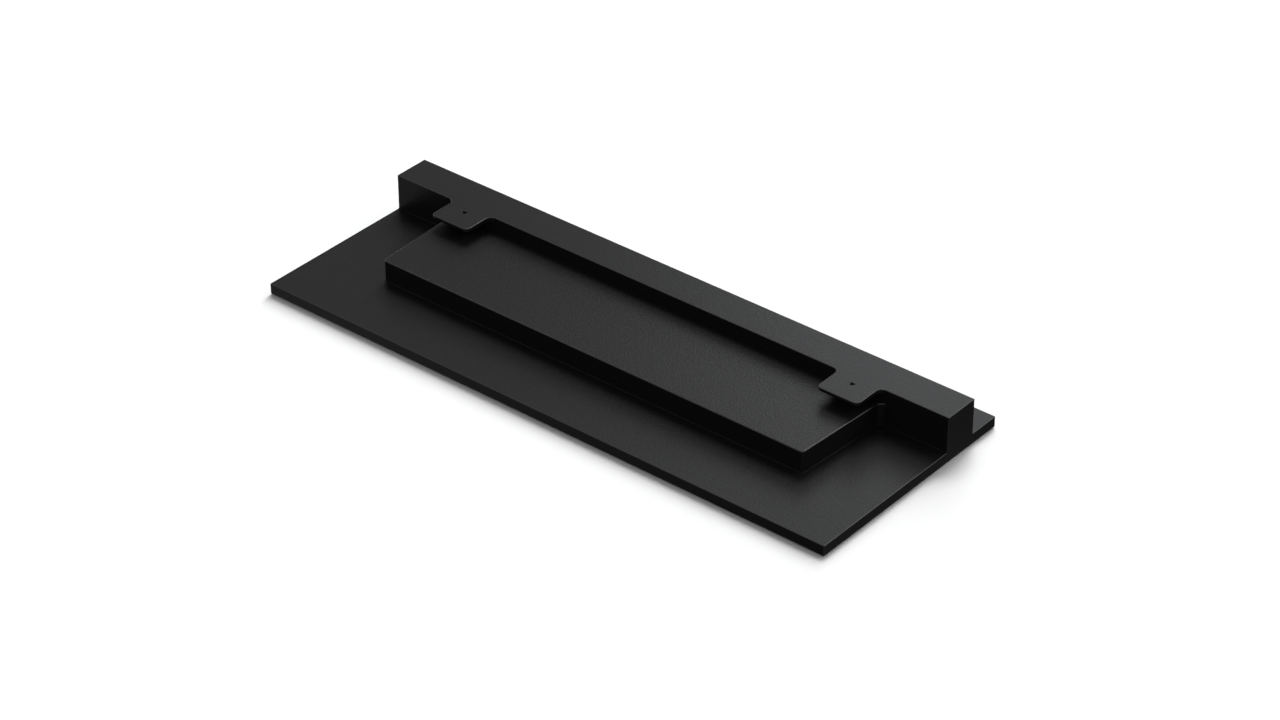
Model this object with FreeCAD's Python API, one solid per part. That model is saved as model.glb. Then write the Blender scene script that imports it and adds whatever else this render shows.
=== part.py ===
import FreeCAD, Part
import math
import os

# Stand that holds a slim console upright on its long side.
# One black injection moulding, ribbed and open underneath, on six rubber feet.
# X runs along the stand, -Y is the side the console is pushed on from, Z is up.
# The origin is the centre of the footprint, on the surface that the stand rests on.
# All sizes are in millimetres.

# Deck: the flat plate that everything stands on
DECK_LENGTH = 295.0
DECK_DEPTH = 114.0
DECK_TOP = 5.3
DECK_CORNER_R = 0.4
DECK_BOTTOM_ROUND = 0.2

# Rail: the long bar that the console backs onto, flush with both ends of the deck
RAIL_SETBACK = 15.9
RAIL_DEPTH = 17.6
RAIL_HEIGHT = 16.8

# Platform: the raised seat in front of the rail, wider at the rail than at its free edge
PLATFORM_HEIGHT = 10.2
PLATFORM_DEPTH = 47.7
PLATFORM_FRONT_WIDTH = 223.6
PLATFORM_BACK_WIDTH = 229.0
PLATFORM_CORNER_R = 1.5
PLATFORM_EDGE_ROUND = 0.5

# Catch tabs: the two tongues at the top of the rail that reach over the platform
TAB_SPAN = 228.0
TAB_WIDTH = 20.6
TAB_REACH = 15.2
TAB_ROOT_THICKNESS = 2.0
TAB_TIP_THICKNESS = 1.5
TAB_CORNER_R = 2.5

# Arrow marks sunk into the tabs, pointing at their free edge
ARROW_WIDTH = 2.8
ARROW_LENGTH = 2.4
ARROW_FROM_TIP = 8.7
ARROW_DEPTH = 0.8

# Other rounds of the outside: inner corners in plan, feet of the walls, and outer edges
INNER_CORNER_R = 3.0
FOOT_FILLET_R = 0.5
EDGE_ROUND = 0.3

# Inside of the moulding: the walls, and the ribs with the draft that frees them from the mould
WALL = 2.5
RIB_THICKNESS = 1.3
RIB_PITCH = 42.0
DRAFT_DEG = 0.5

# Rubber feet, and the rings under the deck that hold them
PAD_R = 5.0
PAD_PROTRUSION = 0.4
PAD_CHAMFER = 0.3
PAD_CLEARANCE = 0.2
RING_WALL = 1.3
PAD_INSET_X = 11.0
PAD_INSET_Y = 8.5

# Places that follow from the sizes
HALF_LENGTH = DECK_LENGTH / 2
HALF_DEPTH = DECK_DEPTH / 2
SKIRT_BOTTOM = PAD_PROTRUSION
DECK_UNDERSIDE = DECK_TOP - WALL
RAIL_BACK = HALF_DEPTH - RAIL_SETBACK
RAIL_FRONT = RAIL_BACK - RAIL_DEPTH
RAIL_MIDDLE = (RAIL_FRONT + RAIL_BACK) / 2
RAIL_TOP = DECK_TOP + RAIL_HEIGHT
PLATFORM_TOP = DECK_TOP + PLATFORM_HEIGHT
PLATFORM_FRONT = RAIL_FRONT - PLATFORM_DEPTH
TAB_TIP = RAIL_FRONT - TAB_REACH
TAB_MIDDLE = (TAB_SPAN - TAB_WIDTH) / 2
DRAFT = math.tan(math.radians(DRAFT_DEG))
TOLERANCE = 1e-3


def near(a, b):
    """True where two lengths are the same."""
    return abs(a - b) < TOLERANCE


def box(x0, x1, y0, y1, z0, z1):
    """Axis-parallel block between two corners."""
    return Part.makeBox(x1 - x0, y1 - y0, z1 - z0, FreeCAD.Vector(x0, y0, z0))


def wire(points):
    """Closed polygon through points in space."""
    corners = [FreeCAD.Vector(*point) for point in points]
    return Part.makePolygon(corners + corners[:1])


def prism(plan, z0, z1):
    """Upright block whose plan is a closed polygon of (x, y) points."""
    return Part.Face(wire([(x, y, z0) for x, y in plan])).extrude(FreeCAD.Vector(0, 0, z1 - z0))


def upright_edges(shape, places):
    """Vertical edges of a shape that stand at the given (x, y) places."""
    found = []
    for edge in shape.Edges:
        bounds = edge.BoundBox
        upright = near(bounds.XLength, 0) and near(bounds.YLength, 0)
        if upright and any(math.dist((bounds.XMin, bounds.YMin), place) < TOLERANCE for place in places):
            found.append(edge)
    return found


def flat_edges(shape, z):
    """Edges of a shape that lie in the level plane at height z."""
    return [edge for edge in shape.Edges if near(edge.BoundBox.ZMin, z) and near(edge.BoundBox.ZMax, z)]


# Outside of the moulding

def deck():
    """Plate with small corner radii and a rounded lower edge."""
    plate = box(-HALF_LENGTH, HALF_LENGTH, -HALF_DEPTH, HALF_DEPTH, SKIRT_BOTTOM, DECK_TOP)
    corners = [(sx * HALF_LENGTH, sy * HALF_DEPTH) for sx in (-1, 1) for sy in (-1, 1)]
    plate = plate.makeFillet(DECK_CORNER_R, upright_edges(plate, corners))
    return plate.makeFillet(DECK_BOTTOM_ROUND, flat_edges(plate, SKIRT_BOTTOM))


def rail():
    """Long bar; it starts inside the deck so that the two become one body."""
    return box(-HALF_LENGTH, HALF_LENGTH, RAIL_FRONT, RAIL_BACK, DECK_UNDERSIDE, RAIL_TOP)


def platform_half_width(y):
    """Half the platform's width at y; its sides are slanted in plan."""
    slant = (PLATFORM_BACK_WIDTH - PLATFORM_FRONT_WIDTH) / 2 / PLATFORM_DEPTH
    return PLATFORM_FRONT_WIDTH / 2 + slant * (y - PLATFORM_FRONT)


def platform_plan(inset, back_y):
    """Trapezoid inside the platform's front and sides by an inset, carried back to back_y."""
    front_y = PLATFORM_FRONT + inset
    front, back = platform_half_width(front_y) - inset, platform_half_width(back_y) - inset
    return [(-front, front_y), (front, front_y), (back, back_y), (-back, back_y)]


def platform():
    """Seat with rounded front corners, and inner corner radii where its sides meet the rail."""
    plan = platform_plan(0, RAIL_MIDDLE)
    side_at_rail = PLATFORM_BACK_WIDTH / 2
    inner_corners = [(-side_at_rail, RAIL_FRONT), (side_at_rail, RAIL_FRONT)]
    root_side = side_at_rail + 2 * INNER_CORNER_R
    root = box(-root_side, root_side, RAIL_FRONT, RAIL_MIDDLE, DECK_UNDERSIDE, PLATFORM_TOP)
    seat = prism(plan, DECK_UNDERSIDE, PLATFORM_TOP).fuse(root).removeSplitter()
    seat = seat.makeFillet(INNER_CORNER_R, upright_edges(seat, inner_corners))
    seat = seat.makeFillet(PLATFORM_CORNER_R, upright_edges(seat, plan[:2]))
    return seat.makeFillet(PLATFORM_EDGE_ROUND, flat_edges(seat, PLATFORM_TOP))


def tab(side):
    """Tongue level with the rail's top, thinner towards its free edge; side is -1 or 1."""
    middle = side * TAB_MIDDLE
    low_x, high_x = middle - TAB_WIDTH / 2, middle + TAB_WIDTH / 2
    root_low_x, root_high_x = low_x - 2 * INNER_CORNER_R, high_x + 2 * INNER_CORNER_R
    tongue = box(low_x, high_x, TAB_TIP, RAIL_MIDDLE, PLATFORM_TOP, RAIL_TOP)
    root = box(root_low_x, root_high_x, RAIL_FRONT, RAIL_MIDDLE, PLATFORM_TOP, RAIL_TOP)
    plan = tongue.fuse(root).removeSplitter()
    plan = plan.makeFillet(INNER_CORNER_R, upright_edges(plan, [(low_x, RAIL_FRONT), (high_x, RAIL_FRONT)]))
    plan = plan.makeFillet(TAB_CORNER_R, upright_edges(plan, [(low_x, TAB_TIP), (high_x, TAB_TIP)]))
    section = [(TAB_TIP, RAIL_TOP), (RAIL_MIDDLE, RAIL_TOP), (RAIL_MIDDLE, RAIL_TOP - TAB_ROOT_THICKNESS),
               (RAIL_FRONT, RAIL_TOP - TAB_ROOT_THICKNESS), (TAB_TIP, RAIL_TOP - TAB_TIP_THICKNESS)]
    side_view = Part.Face(wire([(root_low_x, y, z) for y, z in section]))
    return plan.common(side_view.extrude(FreeCAD.Vector(root_high_x - root_low_x, 0, 0)))


def arrow(side):
    """Small triangular prism that sinks an arrow mark into a tab; side is -1 or 1."""
    middle = side * TAB_MIDDLE
    point_y = TAB_TIP + ARROW_FROM_TIP
    back_y = point_y + ARROW_LENGTH
    plan = [(middle, point_y), (middle + ARROW_WIDTH / 2, back_y), (middle - ARROW_WIDTH / 2, back_y)]
    return prism(plan, RAIL_TOP - ARROW_DEPTH, RAIL_TOP + ARROW_DEPTH)


def is_wall_foot(edge):
    """True for an edge of the deck's top face where a wall rises from it."""
    bounds = edge.BoundBox
    on_end = near(bounds.XLength, 0) and near(abs(bounds.XMin), HALF_LENGTH)
    return PLATFORM_FRONT - TOLERANCE < bounds.YMin and bounds.YMax < RAIL_BACK + TOLERANCE and not on_end


def is_outer_edge(edge):
    """True for an edge of the deck's rim, of the rail's top and tabs, or of the rail's end faces."""
    bounds = edge.BoundBox
    on_end = near(bounds.XLength, 0) and near(abs(bounds.XMin), HALF_LENGTH)
    rail_end = on_end and bounds.ZMin > DECK_TOP - TOLERANCE
    rail_top = near(bounds.ZMin, RAIL_TOP)
    on_deck = near(bounds.ZMin, DECK_TOP) and near(bounds.ZMax, DECK_TOP)
    front_rim = on_deck and bounds.YMax < DECK_CORNER_R - HALF_DEPTH + TOLERANCE
    back_rim = on_deck and bounds.YMin > HALF_DEPTH - DECK_CORNER_R - TOLERANCE
    return rail_end or rail_top or front_rim or back_rim


def outside():
    """Deck, rail, platform and tabs as one block with its rounds, before it is cored out."""
    block = deck().multiFuse([rail(), platform(), tab(-1), tab(1)]).removeSplitter().Solids[0]
    block = block.makeFillet(FOOT_FILLET_R, [e for e in flat_edges(block, DECK_TOP) if is_wall_foot(e)])
    return block.makeFillet(EDGE_ROUND, [e for e in block.Edges if is_outer_edge(e)])


# Inside of the moulding

def drafted_core(plan, top_z):
    """Core that is pulled out downwards: its outline, plan(inset), draws in with height by the draft."""
    lower = [(x, y, SKIRT_BOTTOM) for x, y in plan(0)]
    upper = [(x, y, top_z) for x, y in plan(DRAFT * (top_z - SKIRT_BOTTOM))]
    return Part.makeLoft([wire(lower), wire(upper)], True, True)


def full_length_plan(front_y, back_y, inset):
    """Rectangle inside the end walls, between two walls whose inner faces are at front_y and back_y."""
    end = HALF_LENGTH - WALL - inset
    front, back = front_y + inset, back_y - inset
    return [(-end, front), (end, front), (end, back), (-end, back)]


def deck_core():
    """Shallow hollow under the deck, outside the walls of the platform and the rail."""
    inner_back = HALF_DEPTH - WALL
    core = drafted_core(lambda inset: full_length_plan(-inner_back, inner_back, inset), DECK_UNDERSIDE)
    under_platform = prism(platform_plan(0, RAIL_MIDDLE), 0, DECK_TOP)
    under_rail = box(-HALF_LENGTH, HALF_LENGTH, RAIL_FRONT, RAIL_BACK, 0, DECK_TOP)
    return core.cut([under_platform, under_rail])


def platform_core():
    """Hollow inside the platform, in front of the rail's front wall."""
    return drafted_core(lambda inset: platform_plan(WALL + inset, RAIL_FRONT - inset), PLATFORM_TOP - WALL)


def rail_core():
    """Hollow inside the rail."""
    inner_front, inner_back = RAIL_FRONT + WALL, RAIL_BACK - WALL
    return drafted_core(lambda inset: full_length_plan(inner_front, inner_back, inset), RAIL_TOP - WALL)


def rib(start, end):
    """Upright rib along X or Y between two (x, y) points, thicker towards its root at the top."""
    along = FreeCAD.Vector(end[0] - start[0], end[1] - start[1], 0)
    across = FreeCAD.Vector(-along.y, along.x, 0).normalize()
    low_half = RIB_THICKNESS / 2
    high_half = low_half + DRAFT * (RAIL_TOP - SKIRT_BOTTOM)
    section = [(-low_half, SKIRT_BOTTOM), (low_half, SKIRT_BOTTOM),
               (high_half, RAIL_TOP), (-high_half, RAIL_TOP)]
    points = [(start[0] + across.x * offset, start[1] + across.y * offset, z) for offset, z in section]
    return Part.Face(wire(points)).extrude(along)


def ribs():
    """Cross ribs at one pitch, and two lengthwise ribs under the front strip of the deck."""
    side_ribs = int((HALF_LENGTH - WALL) // RIB_PITCH)
    places_x = [i * RIB_PITCH for i in range(-side_ribs, side_ribs + 1)]
    under_deck_front = (WALL - HALF_DEPTH + PLATFORM_FRONT) / 2
    along_platform_wall = PLATFORM_FRONT + WALL / 2
    cross = [rib((x, -HALF_DEPTH), (x, HALF_DEPTH)) for x in places_x]
    lengthwise = [rib((-HALF_LENGTH, y), (HALF_LENGTH, y)) for y in (under_deck_front, along_platform_wall)]
    return cross + lengthwise


def pad_places():
    """Centres of the rubber feet by name: three along the front and three along the back."""
    columns = {"left": PAD_INSET_X - HALF_LENGTH, "middle": 0.0, "right": HALF_LENGTH - PAD_INSET_X}
    rows = {"front": PAD_INSET_Y - HALF_DEPTH, "back": HALF_DEPTH - PAD_INSET_Y}
    return {f"{row}_{column}": (x, y) for row, y in rows.items() for column, x in columns.items()}


def disc(place, radius, z0, z1):
    """Upright cylinder centred on an (x, y) place."""
    return Part.makeCylinder(radius, z1 - z0, FreeCAD.Vector(place[0], place[1], z0))


def stand_moulding():
    """The whole moulding: the outside, less the cores, with ribs and foot rings left standing."""
    places = pad_places().values()
    socket_r = PAD_R + PAD_CLEARANCE
    sockets = [disc(place, socket_r, 0, DECK_UNDERSIDE) for place in places]
    rings = [disc(place, socket_r + RING_WALL, SKIRT_BOTTOM, DECK_UNDERSIDE) for place in places]
    cores = [core.cut(ribs() + rings) for core in (deck_core(), platform_core(), rail_core())]
    return outside().cut(cores + sockets + [arrow(-1), arrow(1)]).Solids[0]


def rubber_foot(place):
    """Round pad seated in its ring against the deck, with a chamfered lower edge."""
    pad = disc(place, PAD_R, 0, DECK_UNDERSIDE)
    return pad.makeChamfer(PAD_CHAMFER, flat_edges(pad, 0))


def main():
    parts = {"stand_moulding": stand_moulding()}
    parts.update({f"foot_{name}": rubber_foot(place) for name, place in pad_places().items()})
    os.makedirs("parts", exist_ok=True)
    for name, shape in parts.items():
        shape.exportStep(f"parts/{name}.step")
        state = "valid" if shape.isValid() else "INVALID"
        print(f"{name}: {state}, {shape.Volume / 1000:.1f} cm3, {len(shape.Faces)} faces")


main()
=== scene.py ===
import math

import bpy
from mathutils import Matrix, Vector

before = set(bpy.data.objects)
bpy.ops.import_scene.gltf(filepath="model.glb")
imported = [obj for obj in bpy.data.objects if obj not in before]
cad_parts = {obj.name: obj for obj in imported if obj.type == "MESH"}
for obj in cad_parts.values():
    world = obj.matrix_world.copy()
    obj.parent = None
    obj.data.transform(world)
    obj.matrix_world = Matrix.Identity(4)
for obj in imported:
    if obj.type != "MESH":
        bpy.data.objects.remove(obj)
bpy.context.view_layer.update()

# The moulding
# One injection moulding in black ABS: deck, rail, platform and both catch tabs come out of one mould.
# Its cavity is spark-eroded, which leaves the skin finely grained and matt.
ABS_BLACK = "202020"
ABS_IOR = 1.53
# The grain scatters most of what bare ABS would mirror, so little gloss is left, and it is broad.
ABS_SPECULAR = 0.04
ABS_ROUGHNESS = (0.31, 0.35)
# Real spark-eroded grain is about 0.1 mm wide. That is too fine to show, so it is drawn eight times
# coarser, and deeper to match.
GRAIN_MM = 0.8
GRAIN_DEPTH_MM = 0.08
# The plastic cools unevenly as it flows along the mould, so its gloss drifts over some centimetres.
FLOW_MM = 28.0
# The edge rounds are rubbed smooth by hands, and shine more than the faces. A face counts as a round
# by the largest part of its normal, which is 1 where it looks straight along an axis.
ROUND_BEGINS = 0.995
ROUND_FULL = 0.93
ROUND_GLOSS = 0.8
ROUND_ROUGHNESS = 0.3
# Nothing rubs the fillets where the walls meet the deck, so they stay matt. They are found by their
# height above the table, give or take a half, and by a normal whose upward part passes from the
# first to the second value.
FILLET_MM = 5.6
FILLET_HALF_MM = 0.28
FILLET_LEAN = (0.05, 0.10)


def linear(hex_colour):
    """sRGB hex colour as a linear RGBA tuple."""
    parts = [int(hex_colour[i:i + 2], 16) / 255 for i in (0, 2, 4)]
    return (*[p / 12.92 if p <= 0.04045 else ((p + 0.055) / 1.055) ** 2.4 for p in parts], 1.0)


def add_node(tree, kind, inputs=None, **settings):
    """Adds a shader node. Its inputs are given by name or number, each as another node's socket or as
    a value, and the settings are its own properties."""
    node = tree.nodes.new(kind)
    for name, value in settings.items():
        setattr(node, name, value)
    for socket, source in (inputs or {}).items():
        if isinstance(source, bpy.types.NodeSocket):
            tree.links.new(source, node.inputs[socket])
        else:
            node.inputs[socket].default_value = source
    return node


def new_material(name):
    """Empty node material and its tree."""
    material = bpy.data.materials.new(name)
    material.use_nodes = True
    material.node_tree.nodes.clear()
    return material, material.node_tree


def spark_eroded_abs():
    """Black ABS from a spark-eroded cavity: to the eye a deep, even black with a soft broad sheen, a
    fine grain close up, and a thin brighter line along the edges that face the light."""
    material, tree = new_material("spark_eroded_black_abs")
    position = add_node(tree, "ShaderNodeTexCoord")
    place = position.outputs["Object"]

    grain = add_node(tree, "ShaderNodeTexNoise",
                     {"Vector": place, "Scale": 1000 / GRAIN_MM, "Detail": 2.0, "Roughness": 0.6})
    relief = add_node(tree, "ShaderNodeBump",
                      {"Height": grain.outputs["Fac"], "Strength": 1.0,
                       "Distance": GRAIN_DEPTH_MM / 1000})
    flow = add_node(tree, "ShaderNodeTexNoise",
                    {"Vector": place, "Scale": 1000 / FLOW_MM, "Detail": 3.0})
    roughness = add_node(tree, "ShaderNodeMapRange",
                         {"Value": flow.outputs["Fac"],
                          "To Min": ABS_ROUGHNESS[0], "To Max": ABS_ROUGHNESS[1]})

    facing = add_node(tree, "ShaderNodeVectorMath", {0: position.outputs["Normal"]},
                      operation="ABSOLUTE")
    part = add_node(tree, "ShaderNodeSeparateXYZ", {"Vector": facing.outputs["Vector"]})
    level = add_node(tree, "ShaderNodeMath", {0: part.outputs["X"], 1: part.outputs["Y"]},
                     operation="MAXIMUM")
    largest = add_node(tree, "ShaderNodeMath", {0: level.outputs["Value"], 1: part.outputs["Z"]},
                       operation="MAXIMUM")
    rounded = add_node(tree, "ShaderNodeMapRange",
                       {"Value": largest.outputs["Value"],
                        "From Min": ROUND_BEGINS, "From Max": ROUND_FULL, "To Max": ROUND_GLOSS})
    height = add_node(tree, "ShaderNodeSeparateXYZ", {"Vector": place})
    band = add_node(tree, "ShaderNodeMath",
                    {0: height.outputs["Z"], 1: FILLET_MM / 1000, 2: FILLET_HALF_MM / 1000},
                    operation="COMPARE")
    leaning = add_node(tree, "ShaderNodeMapRange",
                       {"Value": part.outputs["Z"],
                        "From Min": FILLET_LEAN[0], "From Max": FILLET_LEAN[1]})
    fillet = add_node(tree, "ShaderNodeMath",
                      {0: band.outputs["Value"], 1: leaning.outputs["Result"]},
                      operation="MULTIPLY")
    rubbed = add_node(tree, "ShaderNodeMath",
                      {0: rounded.outputs["Result"], 1: fillet.outputs["Value"]},
                      operation="SUBTRACT", use_clamp=True)

    shader = add_node(tree, "ShaderNodeBsdfPrincipled",
                      {"Base Color": linear(ABS_BLACK), "IOR": ABS_IOR,
                       "Specular IOR Level": ABS_SPECULAR, "Roughness": roughness.outputs["Result"],
                       "Coat Weight": rubbed.outputs["Value"], "Coat Roughness": ROUND_ROUGHNESS,
                       "Coat IOR": ABS_IOR, "Normal": relief.outputs["Normal"]})
    add_node(tree, "ShaderNodeOutputMaterial", {"Surface": shader.outputs["BSDF"]})
    return material


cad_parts["stand_moulding"].material_slots[0].material = spark_eroded_abs()

# The feet
# Six soft black rubber discs, punched from sheet and glued into the rings under the deck. Only their
# lower faces touch the table.
RUBBER_BLACK = "1c1c1c"
RUBBER_IOR = 1.52
RUBBER_ROUGHNESS = 0.85
# The sheet's own grain, like the moulding's, is drawn coarser than it is.
SHEET_GRAIN_MM = 0.8
SHEET_GRAIN_DEPTH_MM = 0.16


def sheet_rubber():
    """Black sheet rubber: to the eye a dull, slightly rough black with no sheen."""
    material, tree = new_material("black_sheet_rubber")
    place = add_node(tree, "ShaderNodeTexCoord").outputs["Object"]
    grain = add_node(tree, "ShaderNodeTexNoise",
                     {"Vector": place, "Scale": 1000 / SHEET_GRAIN_MM, "Detail": 3.0})
    relief = add_node(tree, "ShaderNodeBump",
                      {"Height": grain.outputs["Fac"], "Strength": 1.0,
                       "Distance": SHEET_GRAIN_DEPTH_MM / 1000})
    shader = add_node(tree, "ShaderNodeBsdfPrincipled",
                      {"Base Color": linear(RUBBER_BLACK), "IOR": RUBBER_IOR,
                       "Roughness": RUBBER_ROUGHNESS, "Normal": relief.outputs["Normal"]})
    add_node(tree, "ShaderNodeOutputMaterial", {"Surface": shader.outputs["BSDF"]})
    return material


rubber = sheet_rubber()
for name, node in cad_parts.items():
    if name.startswith("foot_"):
        node.material_slots[0].material = rubber

# The floor
# A sheet of white paper, cut large and laid flat under the stand. It isn't part of the object, and
# takes the stand's shadow. Its sizes are in metres.
FLOOR_SIZE = 6.0
WHITE = "ffffff"
# The lamps leave the paper a little under white away from the stand, so the camera sees it lifted to
# white there. The lift grows between two distances from the middle.
LIFT_FROM, LIFT_TO = 0.15, 0.5
LIFT = 0.12
# Gloss sees the paper as a glow, white in front and at the left, and painted dimmer towards the right
# end and the back: painted shade in what the stand mirrors.
# Each pair says where the dimming begins and ends, to the right of the middle and behind it.
RIGHT_FADE = (-0.10, 0.15)
RIGHT_WHITE = 0.25
BACK_FADE = (0.03, 0.10)
BACK_WHITE = 0.3


def white_paper():
    """White paper: matt and lit to the camera, glowing to gloss and to light that passes through, and
    dark to light that would bounce from it onto the stand."""
    material, tree = new_material("white_paper")
    ray = add_node(tree, "ShaderNodeLightPath")
    place = add_node(tree, "ShaderNodeTexCoord").outputs["Object"]

    paper = add_node(tree, "ShaderNodeBsdfDiffuse", {"Color": linear(WHITE)})
    away = add_node(tree, "ShaderNodeVectorMath", {0: place}, operation="LENGTH")
    lift = add_node(tree, "ShaderNodeMapRange",
                    {"Value": away.outputs["Value"],
                     "From Min": LIFT_FROM, "From Max": LIFT_TO, "To Max": LIFT})
    lifted = add_node(tree, "ShaderNodeEmission",
                      {"Color": linear(WHITE), "Strength": lift.outputs["Result"]})
    shown = add_node(tree, "ShaderNodeAddShader",
                     {0: paper.outputs["BSDF"], 1: lifted.outputs["Emission"]})

    axis = add_node(tree, "ShaderNodeSeparateXYZ", {"Vector": place})
    along = add_node(tree, "ShaderNodeMapRange",
                     {"Value": axis.outputs["X"], "From Min": RIGHT_FADE[0],
                      "From Max": RIGHT_FADE[1], "To Min": 1.0, "To Max": RIGHT_WHITE})
    across = add_node(tree, "ShaderNodeMapRange",
                      {"Value": axis.outputs["Y"], "From Min": BACK_FADE[0],
                       "From Max": BACK_FADE[1], "To Min": 1.0, "To Max": BACK_WHITE})
    # Painted shade in the paper's glow: dimmer towards the right end and the back, so that the stand's
    # right end mirrors it darker.
    painted_glow_shade = add_node(tree, "ShaderNodeMath",
                    {0: along.outputs["Result"], 1: across.outputs["Result"]}, operation="MULTIPLY")
    mirrored = add_node(tree, "ShaderNodeMath",
                        {0: ray.outputs["Is Glossy Ray"], 1: ray.outputs["Is Transmission Ray"]},
                        operation="MAXIMUM")
    strength = add_node(tree, "ShaderNodeMath",
                        {0: painted_glow_shade.outputs["Value"], 1: mirrored.outputs["Value"]},
                        operation="MULTIPLY")
    glow = add_node(tree, "ShaderNodeEmission",
                    {"Color": linear(WHITE), "Strength": strength.outputs["Value"]})

    mix = add_node(tree, "ShaderNodeMixShader",
                   {"Fac": ray.outputs["Is Camera Ray"], 1: glow.outputs["Emission"],
                    2: shown.outputs["Shader"]})
    add_node(tree, "ShaderNodeOutputMaterial", {"Surface": mix.outputs["Shader"]})
    # The glow isn't a lamp, so no light is sampled from it.
    material.cycles.emission_sampling = "NONE"
    return material


half = FLOOR_SIZE / 2
floor_mesh = bpy.data.meshes.new("floor")
floor_mesh.from_pydata([(-half, -half, 0), (half, -half, 0), (half, half, 0), (-half, half, 0)],
                       [], [(0, 1, 2, 3)])
floor_mesh.materials.append(white_paper())
floor = bpy.data.objects.new("floor", floor_mesh)
bpy.context.scene.collection.objects.link(floor)

# The lamps
# Two round softboxes stand behind the stand, where its tops mirror them towards the right end. Wide
# distant lights throw its shadow to the front. Each lamp gives a share of the floor's white.
STAND_CENTRE = Vector((0, 0, 0.01))
SOFTBOX_WHITE = "f8fbff"
DISTANT_ANGLE = math.radians(24)


def aim(name, light, location):
    """Places a lamp at a point, facing the stand's centre."""
    lamp = bpy.data.objects.new(name, light)
    lamp.location = location
    lamp.rotation_mode = "QUATERNION"
    lamp.rotation_quaternion = (STAND_CENTRE - location).to_track_quat("-Z", "Y")
    bpy.context.scene.collection.objects.link(lamp)


def softbox(name, location, size, share):
    """Round softbox. Its power is the share times the square of pi times the distance, so that a
    share of 1 shows white on paper that faces it at the stand."""
    light = bpy.data.lights.new(name, "AREA")
    light.shape = "DISK"
    light.color = linear(SOFTBOX_WHITE)[:3]
    light.size = size
    light.energy = share * (math.pi * (Vector(location) - STAND_CENTRE).length) ** 2
    aim(name, light, Vector(location))


def distant_light(name, azimuth, elevation, share):
    """Wide light from far off, with the azimuth 0 at the front and 90 at the right end. Its strength
    is the share times pi, so that a share of 1 shows white on paper that faces it."""
    a, e = math.radians(azimuth), math.radians(elevation)
    direction = Vector((math.sin(a) * math.cos(e), -math.cos(a) * math.cos(e), math.sin(e)))
    light = bpy.data.lights.new(name, "SUN")
    light.angle = DISTANT_ANGLE
    light.energy = share * math.pi
    aim(name, light, STAND_CENTRE + direction)


softbox("softbox_back", location=(-0.36, 0.80, 0.57), size=0.42, share=0.163)
softbox("softbox_low", location=(-0.28, 0.72, 0.32), size=0.30, share=0.12)
distant_light("main", azimuth=208, elevation=57, share=0.44)
distant_light("left_high", azimuth=240, elevation=55, share=0.08)
distant_light("rear", azimuth=190, elevation=40, share=0.22)
distant_light("rear_low", azimuth=190, elevation=25, share=0.12)
distant_light("right", azimuth=140, elevation=35, share=0.13)

# The room
# Even dim light from all round. The camera sees the room white, and so does light that passes through;
# gloss sees it white near the floor and dimmer overhead.
ROOM_LIGHT = 0.24
OVERHEAD_WHITE = 0.45
# How far up a direction looks, from 0 at the floor to 1 overhead, where the dimming begins and ends
OVERHEAD_FADE = (0.1, 0.5)

world = bpy.data.worlds.new("studio")
world.use_nodes = True
room = world.node_tree
ray = add_node(room, "ShaderNodeLightPath")
seen = add_node(room, "ShaderNodeMath",
                {0: ray.outputs["Is Camera Ray"], 1: ray.outputs["Is Transmission Ray"]},
                operation="MAXIMUM")
seen = add_node(room, "ShaderNodeMapRange", {"Value": seen.outputs["Value"], "To Min": ROOM_LIGHT})
direction = add_node(room, "ShaderNodeTexCoord").outputs["Generated"]
upward = add_node(room, "ShaderNodeSeparateXYZ", {"Vector": direction}).outputs["Z"]
mirrored = add_node(room, "ShaderNodeMapRange",
                    {"Value": upward, "From Min": OVERHEAD_FADE[0], "From Max": OVERHEAD_FADE[1],
                     "To Min": 1.0, "To Max": OVERHEAD_WHITE})
strength = add_node(room, "ShaderNodeMapRange",
                    {"Value": ray.outputs["Is Glossy Ray"], "To Min": seen.outputs["Result"],
                     "To Max": mirrored.outputs["Result"]})
room.nodes["Background"].inputs["Color"].default_value = linear(WHITE)
room.links.new(strength.outputs["Result"], room.nodes["Background"].inputs["Strength"])
bpy.context.scene.world = world

# The camera
# It stands at the photograph's angle, with the stand's long side running from upper left to lower
# right.
CAMERA_AZIMUTH = math.radians(39.54)
CAMERA_ELEVATION = math.radians(33.48)
CAMERA_DISTANCE = 1.5173
CAMERA_TARGET = Vector((-0.0018, 0.0134, -0.0082))
SENSOR_WIDTH = 36.0
LENS = 102.09

back = Vector((math.sin(CAMERA_AZIMUTH) * math.cos(CAMERA_ELEVATION),
               -math.cos(CAMERA_AZIMUTH) * math.cos(CAMERA_ELEVATION),
               math.sin(CAMERA_ELEVATION)))
camera_data = bpy.data.cameras.new("camera")
camera_data.sensor_width = SENSOR_WIDTH
camera_data.lens = LENS
camera = bpy.data.objects.new("camera", camera_data)
bpy.context.scene.collection.objects.link(camera)
camera.location = CAMERA_TARGET + back * CAMERA_DISTANCE
camera.rotation_mode = "QUATERNION"
camera.rotation_quaternion = (-back).to_track_quat("-Z", "Y")
bpy.context.scene.camera = camera

bpy.context.scene.view_settings.view_transform = "Standard"
